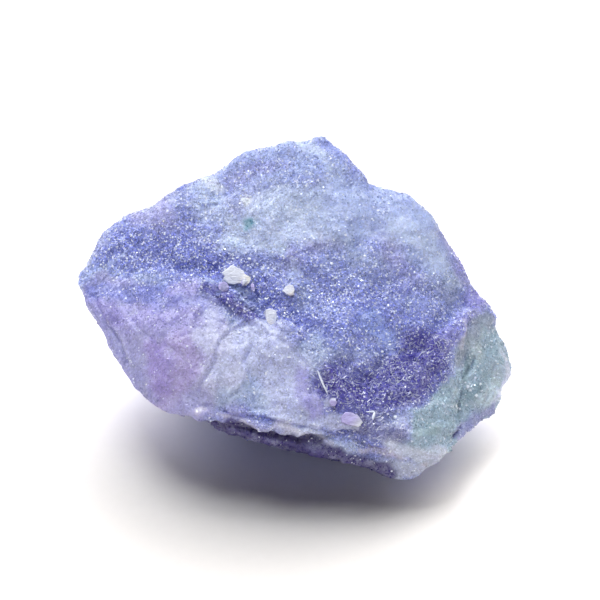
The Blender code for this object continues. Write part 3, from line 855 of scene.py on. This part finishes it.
def crystal(root, outwards, height, outline, draw):
    """(points, three-cornered faces, each point's level) of one crystal: the outline is
    carried up through the levels and drawn in by each, a little unevenly, and both
    ends are closed on a middle point."""
    up = np.array(outwards, float) / np.linalg.norm(outwards)
    right = np.array((1.0, 0, 0)) - up[0] * up
    right /= np.linalg.norm(right)
    axes = np.stack([right, np.cross(up, right), up])
    outline = np.array(outline, float)
    turned = outline[:, 0] * np.roll(outline[:, 1], -1) - outline[:, 1] * np.roll(outline[:, 0], -1)
    if turned.sum() < 0:
        outline = outline[::-1]
    focus = outline.mean(axis=0) + draw.uniform(-0.25, 0.25, 2) * np.ptp(outline, axis=0)
    count, rings = len(outline), len(LEVELS)
    shares = LEVELS[:, 1, None, None] * draw.uniform(0.985, 1.01, (rings, count, 1))
    flat = focus + (outline - focus) * shares
    heights = height * (LEVELS[:, 0, None] + draw.uniform(-0.03, 0.03, (rings, count)))
    grid = np.concatenate([flat, heights[..., None]], -1)
    ends = grid[[0, -1]].mean(axis=1)
    points = np.concatenate([grid.reshape(-1, 3), ends]) @ axes + root
    number = np.arange(rings * count).reshape(rings, count)
    after = np.roll(number, -1, axis=1)
    a, b, c, d = number[:-1], after[:-1], after[1:], number[1:]
    low, high = np.full(count, rings * count), np.full(count, rings * count + 1)
    faces = np.concatenate([
        np.stack([a, b, c], -1).reshape(-1, 3), np.stack([a, c, d], -1).reshape(-1, 3),
        np.stack([after[0], number[0], low], -1), np.stack([number[-1], after[-1], high], -1)])
    return points, faces, np.r_[np.repeat(np.arange(rings), count), 0, rings - 1]


def nearest_on_skin(place):
    """(point, outward direction) of the skin point that is nearest to the place."""
    nearest = np.linalg.norm(skin_points - place, axis=1).argmin()
    return skin_points[nearest], skin_out[nearest]


def any_outline(width, draw):
    """A crooked outline of five to seven corners, about that wide."""
    corners = draw.integers(5, 8)
    turn = (np.arange(corners) + draw.uniform(-0.3, 0.3, corners)) / corners * 2 * math.pi
    reach = width / 2 * draw.uniform(0.7, 1.25, corners)
    return np.stack([np.cos(turn) * reach, np.sin(turn) * reach * draw.uniform(0.6, 1)], -1)


draw = np.random.default_rng(23)
crystal_parts = []
for root, outwards, height, colour, second, gathers, outline in CRYSTALS.values():
    points, faces, level = crystal(root, outwards, height, outline, draw)
    if any(gathers):
        side = (points - root) @ np.array([gathers[0], gathers[1] * 0.75, gathers[1] * 0.66])
        share = np.clip(side / np.abs(side).max() * 2 - 0.4, 0, 1)
    else:
        share = np.clip(level - 3, 0, 1)
    first, last = light_of(MINERAL[colour]), light_of(MINERAL[second])
    tint = first + share[:, None] * (last - first)
    crystal_parts.append((points, faces, tint * draw.uniform(0.92, 1.05, (len(points), 1))))
for width, places in SMALL_CRYSTALS.items():
    for place in places:
        root, outwards = nearest_on_skin(place)
        outwards = outwards + draw.normal(size=3) * 0.2
        points, faces, _ = crystal(root, outwards, width * 0.5, any_outline(width, draw), draw)
        tint = light_of(MINERAL["clear crystal"])
        crystal_parts.append((points, faces, np.tile(tint, (len(points), 1))))
for number in range(CROWD_SIZE):
    around = np.array(CROWD[number % len(CROWD)]) + draw.normal(size=3) * CROWD_SPREAD + CROWD_SHIFT
    root, outwards = nearest_on_skin(around)
    outwards = outwards + draw.normal(size=3) * 0.45
    width = draw.uniform(0.3, 0.75)
    points, faces, _ = crystal(root, outwards, width * 0.45, any_outline(width, draw), draw)
    tint = light_of(MINERAL["violet blue"]) * draw.uniform(0.5, 1.2)
    crystal_parts.append((points, faces, np.tile(tint, (len(points), 1))))

starts = np.cumsum([0] + [len(points) for points, _, _ in crystal_parts])
points = np.concatenate([points for points, _, _ in crystal_parts])
faces = np.concatenate([faces + start for (_, faces, _), start in zip(crystal_parts, starts)])
corner = np.array([(0.1, 0.1), (0.9, 0.1), (0.1, 0.9)])
crystals = mesh_piece("cleavage_crystals", points, faces, in_squares(len(faces), corner))
give_tint(crystals, np.clip(np.concatenate([tint for _, _, tint in crystal_parts]), 0, 1))
crystals.data.polygons.foreach_set("use_smooth", np.zeros(len(faces), bool))

CLEAVAGE_TURN = (0.7, 0.2, 0.4)
CLEAVAGE_SHEETS = (0.6, 1, 5)

crystal_finish = bpy.data.materials.new("split_crystal")
add = wired(crystal_finish)
in_mm = millimetres(add, CLEAVAGE_TURN)
sheets = add("Mapping", {"Vector": in_mm, "Scale": CLEAVAGE_SHEETS})
tint = add("Attribute", attribute_name="tint")
seams = add("TexNoise", {"Vector": sheets, "Scale": 1.6, "Detail": 4, "Roughness": 0.6})
seam_range = {"From Min": 0.3, "From Max": 0.7, "To Min": 0.82, "To Max": 1.12}
seam_value = add("MapRange", {"Value": seams, **seam_range})
body = add("HueSaturation", {"Value": seam_value, "Color": (tint, "Color")})
rough = add("MapRange", {"Value": seams, "To Min": 0.15, "To Max": 0.4})
bump = add("Bump", {"Height": seams, "Strength": 0.5, "Distance": 0.0002})
shader = add(
    "BsdfPrincipled",
    {
        "Base Color": body,
        "Roughness": rough,
        "Normal": bump,
        "IOR": ANHYDRITE_IOR,
        "Subsurface Weight": 0.25,
        "Subsurface Radius": (1.0, 0.95, 1.1),
        "Subsurface Scale": 0.0005,
    },
)
add("OutputMaterial", {"Surface": shader})
crystals.data.materials.append(crystal_finish)
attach(crystals, "root")

# The needles in the hollow.
# Slender bent slivers of clear anhydrite, lying all ways over the deep violet
# hollow, with one long one at its left edge and a crossed pair below its middle.

NEEDLES = 1300
NEEDLE_LONG = (0.3, 0.95)
NEEDLE_WIDE = (0.05, 0.12)
NEEDLE_STATIONS = 6
# The long one and the crossed pair: how wide each is, and its stations in millimetres.
LONG_SLIVERS = {
    0.24: [
        (2.4, -11.3, 12.9), (2.6, -11.8, 12.6), (2.8, -12.3, 12.3),
        (3.1, -12.9, 11.9), (3.4, -13.4, 11.5), (3.6, -13.8, 11.2)],
    0.2: [
        (7.9, -14.0, 8.85), (8.15, -14.0, 8.88), (8.4, -14.0, 8.9),
        (8.65, -14.02, 8.9), (8.8, -14.05, 8.88), (8.95, -14.1, 8.85)],
    0.34: [
        (8.8, -14.0, 8.9), (8.82, -14.2, 8.85), (8.78, -14.4, 8.8),
        (8.72, -14.6, 8.72), (8.66, -14.8, 8.64), (8.6, -15.0, 8.55)],
}
SLIVER_SIDE = (0.3, -0.6, 0.74)


def slivers(lines, widths):
    """(points, four-cornered faces) of slivers along rows of stations: at each station
    stands a four-cornered section across the line, full in the middle and narrow at
    both ends, and the ends are closed."""
    along = np.gradient(lines, axis=1)
    along /= np.linalg.norm(along, axis=2, keepdims=True)
    side = np.cross(along, SLIVER_SIDE)
    side /= np.linalg.norm(side, axis=2, keepdims=True)
    raised = np.cross(side, along)
    stations = np.linspace(-1, 1, lines.shape[1])
    width = widths[:, None, None] * (0.15 + 0.85 * np.sqrt(1 - stations**2))[None, :, None] / 2
    corners = np.stack([lines + turned * width for turned in (side, raised, -side, -raised)], 2)
    number = np.arange(corners[..., 0].size).reshape(corners.shape[:3])
    after = np.roll(number, -1, axis=2)
    walls = np.stack([number[:, :-1], after[:, :-1], after[:, 1:], number[:, 1:]], -1).reshape(-1, 4)
    return corners.reshape(-1, 3), np.concatenate([walls[:, ::-1], number[:, 0], number[:, -1, ::-1]])


needle_chance = face_area * in_hollow * face_sugar * (face_out[:, 2] > -0.1)
draw = np.random.default_rng(41)
host = draw.choice(len(face_area), NEEDLES, p=needle_chance / needle_chance.sum())
stations = np.linspace(-1, 1, NEEDLE_STATIONS)[None, :, None]
length = NEEDLE_LONG[0] + (NEEDLE_LONG[1] - NEEDLE_LONG[0]) * draw.random(NEEDLES) ** 2
length = length[:, None, None]
leaning = face_out[host] + 0.25 * draw.normal(size=(NEEDLES, 3))
heading = np.cross(leaning, draw.normal(size=(NEEDLES, 3)))
heading /= np.linalg.norm(heading, axis=1, keepdims=True)
bent = np.cross(face_out[host], heading) * draw.uniform(-0.35, 0.35, (NEEDLES, 1))
needle_lines = face_middle[host][:, None] + face_out[host][:, None] * 0.05
needle_lines = needle_lines + length / 2 * (heading[:, None] * stations + bent[:, None] * (1 - stations**2))
needle_lines = np.concatenate([needle_lines, np.array(list(LONG_SLIVERS.values()))])
widths = np.r_[draw.uniform(*NEEDLE_WIDE, NEEDLES), list(LONG_SLIVERS)]
points, faces = slivers(needle_lines, widths)
corner = np.array([(0.1, 0.1), (0.9, 0.1), (0.9, 0.9), (0.1, 0.9)])
needles = mesh_piece("needle_slivers", points, faces, in_squares(len(faces), corner))
long_tint = np.tile(light_of(MINERAL["pale"]), (len(LONG_SLIVERS), 1))
needle_tint = np.concatenate([face_tint[host], long_tint])
paler = np.r_[draw.uniform(0.0, 0.75, NEEDLES), np.ones(len(LONG_SLIVERS))][:, None]
needle_tint += paler * (light_of(MINERAL["white"]) - needle_tint)
give_tint(needles, np.repeat(needle_tint, NEEDLE_STATIONS * 4, axis=0))
needles.data.polygons.foreach_set("use_smooth", np.zeros(len(faces), bool))
needles.data.materials.append(cleavage_grain)
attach(needles, "root")

# The floor.
# A wide sheet of matt white card that sweeps away under the lump.

FLOOR_REACH = 1500
FLOOR_LINES = 61

floor_steps = np.linspace(-FLOOR_REACH, FLOOR_REACH, FLOOR_LINES)
floor_x, floor_y = np.meshgrid(floor_steps, floor_steps, indexing="ij")
floor_points = np.c_[floor_x.ravel(), floor_y.ravel(), np.zeros(floor_x.size)]
number = np.arange(floor_x.size).reshape(floor_x.shape)
floor_corners = (number[:-1, :-1], number[1:, :-1], number[1:, 1:], number[:-1, 1:])
floor_faces = np.stack(floor_corners, -1).reshape(-1, 4)
floor_sheet = (floor_points[floor_faces][..., :2] + FLOOR_REACH) / (2 * FLOOR_REACH)
floor = mesh_piece("floor", floor_points, floor_faces, floor_sheet)
card = bpy.data.materials.new("matt_white_card")
add = wired(card)
place = add("TexCoord")
fibre = add("TexNoise", {"Vector": (place, "Object"), "Scale": 900.0, "Detail": 3})
card_value = add("MapRange", {"Value": fibre, "To Min": 0.9, "To Max": 0.93})
card_colour = add("CombineColor", {"Red": card_value, "Green": card_value, "Blue": card_value})
card_shader = add(
    "BsdfPrincipled",
    {"Base Color": card_colour, "Roughness": 0.9, "Specular IOR Level": 0.1},
)
add("OutputMaterial", {"Surface": card_shader})
floor.data.materials.append(card)
floor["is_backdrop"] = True

# The light.
# A wide wall far behind the lump, flagged off it, throws the long soft shadow over the
# floor. A soft box lights all from above, and two wide and two small cards the lump
# alone. All round, the room's walls are pale near the ground.

WHITE = (1.0, 1.0, 1.0)
COOL = (0.84, 0.93, 1.0)
WALL_COLOUR = (1.0, 0.955, 0.915)
ROOM_COLOUR = (1.0, 0.9, 0.94, 1)

# Each panel: its width and height in metres, its power, how far off it stands, its
# turn from straight behind the lump and its rise, in degrees, and its colour.
PANELS = {
    "soft_box": ((0.34, 0.34), 3.0, 0.7, -26, 54, WHITE),
    "white_card": ((0.7, 0.7), 1.65, 0.6, 182, 68, WHITE),
    "back_card": ((0.45, 0.45), 1.5, 0.6, -16, 45, WHITE),
    "glint_card": ((0.11, 0.11), 0.8, 0.6, 24, 48, COOL),
    "front_glint": ((0.11, 0.11), 1.0, 0.6, 196, 72, COOL),
}
PANEL_AIM = (0, 0, 0.012)

# The wall, brightest in its middle: how many degrees wide each disc is, and its power.
WALL_DISCS = {50: 3.9, 80: 7.8, 110: 9.8}
WALL_TURN, WALL_RISE = 15, 1


def way_to(turn, rise):
    """The direction at that turn from straight behind the lump towards the right,
    and at that rise above the floor, both in degrees."""
    turn, rise = math.radians(turn), math.radians(rise)
    return Vector((
        math.sin(turn) * math.cos(rise), math.cos(turn) * math.cos(rise), math.sin(rise)
    ))


def placed(light, way, away=0.0):
    """The light in the scene, so far along that way from the lump, facing back at it."""
    holder = bpy.data.objects.new(light.name, light)
    holder.location = way * away + Vector(PANEL_AIM)
    holder.rotation_euler = way.to_track_quat("Z", "Y").to_euler()
    bpy.context.scene.collection.objects.link(holder)
    return holder


lump_alone = bpy.data.collections.new("lump_alone")
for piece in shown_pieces():
    lump_alone.objects.link(piece)
for name, (size, power, away, turn, rise, colour) in PANELS.items():
    panel = bpy.data.lights.new(name, "AREA")
    panel.shape = "RECTANGLE"
    panel.size, panel.size_y = size
    panel.energy = power
    panel.color = colour
    holder = placed(panel, way_to(turn, rise), away)
    if name != "soft_box":
        holder.light_linking.receiver_collection = lump_alone

floor_alone = bpy.data.collections.new("floor_alone")
floor_alone.objects.link(floor)
for width, power in WALL_DISCS.items():
    disc = bpy.data.lights.new(f"bright_wall_{width}", "SUN")
    disc.color = WALL_COLOUR
    disc.angle = math.radians(width)
    disc.energy = power
    placed(disc, way_to(WALL_TURN, WALL_RISE)).light_linking.receiver_collection = floor_alone

walls = bpy.data.worlds.new("pale_walls")
add = wired(walls)
way = add("TexCoord")
way_parts = add("SeparateXYZ", {"Vector": (way, "Generated")})
near_ground = add(
    "MapRange",
    {"Value": (way_parts, "Z"), "From Min": 0.09, "From Max": 0.2, "To Min": 0.9, "To Max": 0.04},
    interpolation_type="SMOOTHSTEP",
)
wall_light = add("Background", {"Color": ROOM_COLOUR, "Strength": near_ground})
add("OutputWorld", {"Surface": wall_light})
bpy.context.scene.world = walls
bpy.context.scene.view_settings.view_transform = "Standard"
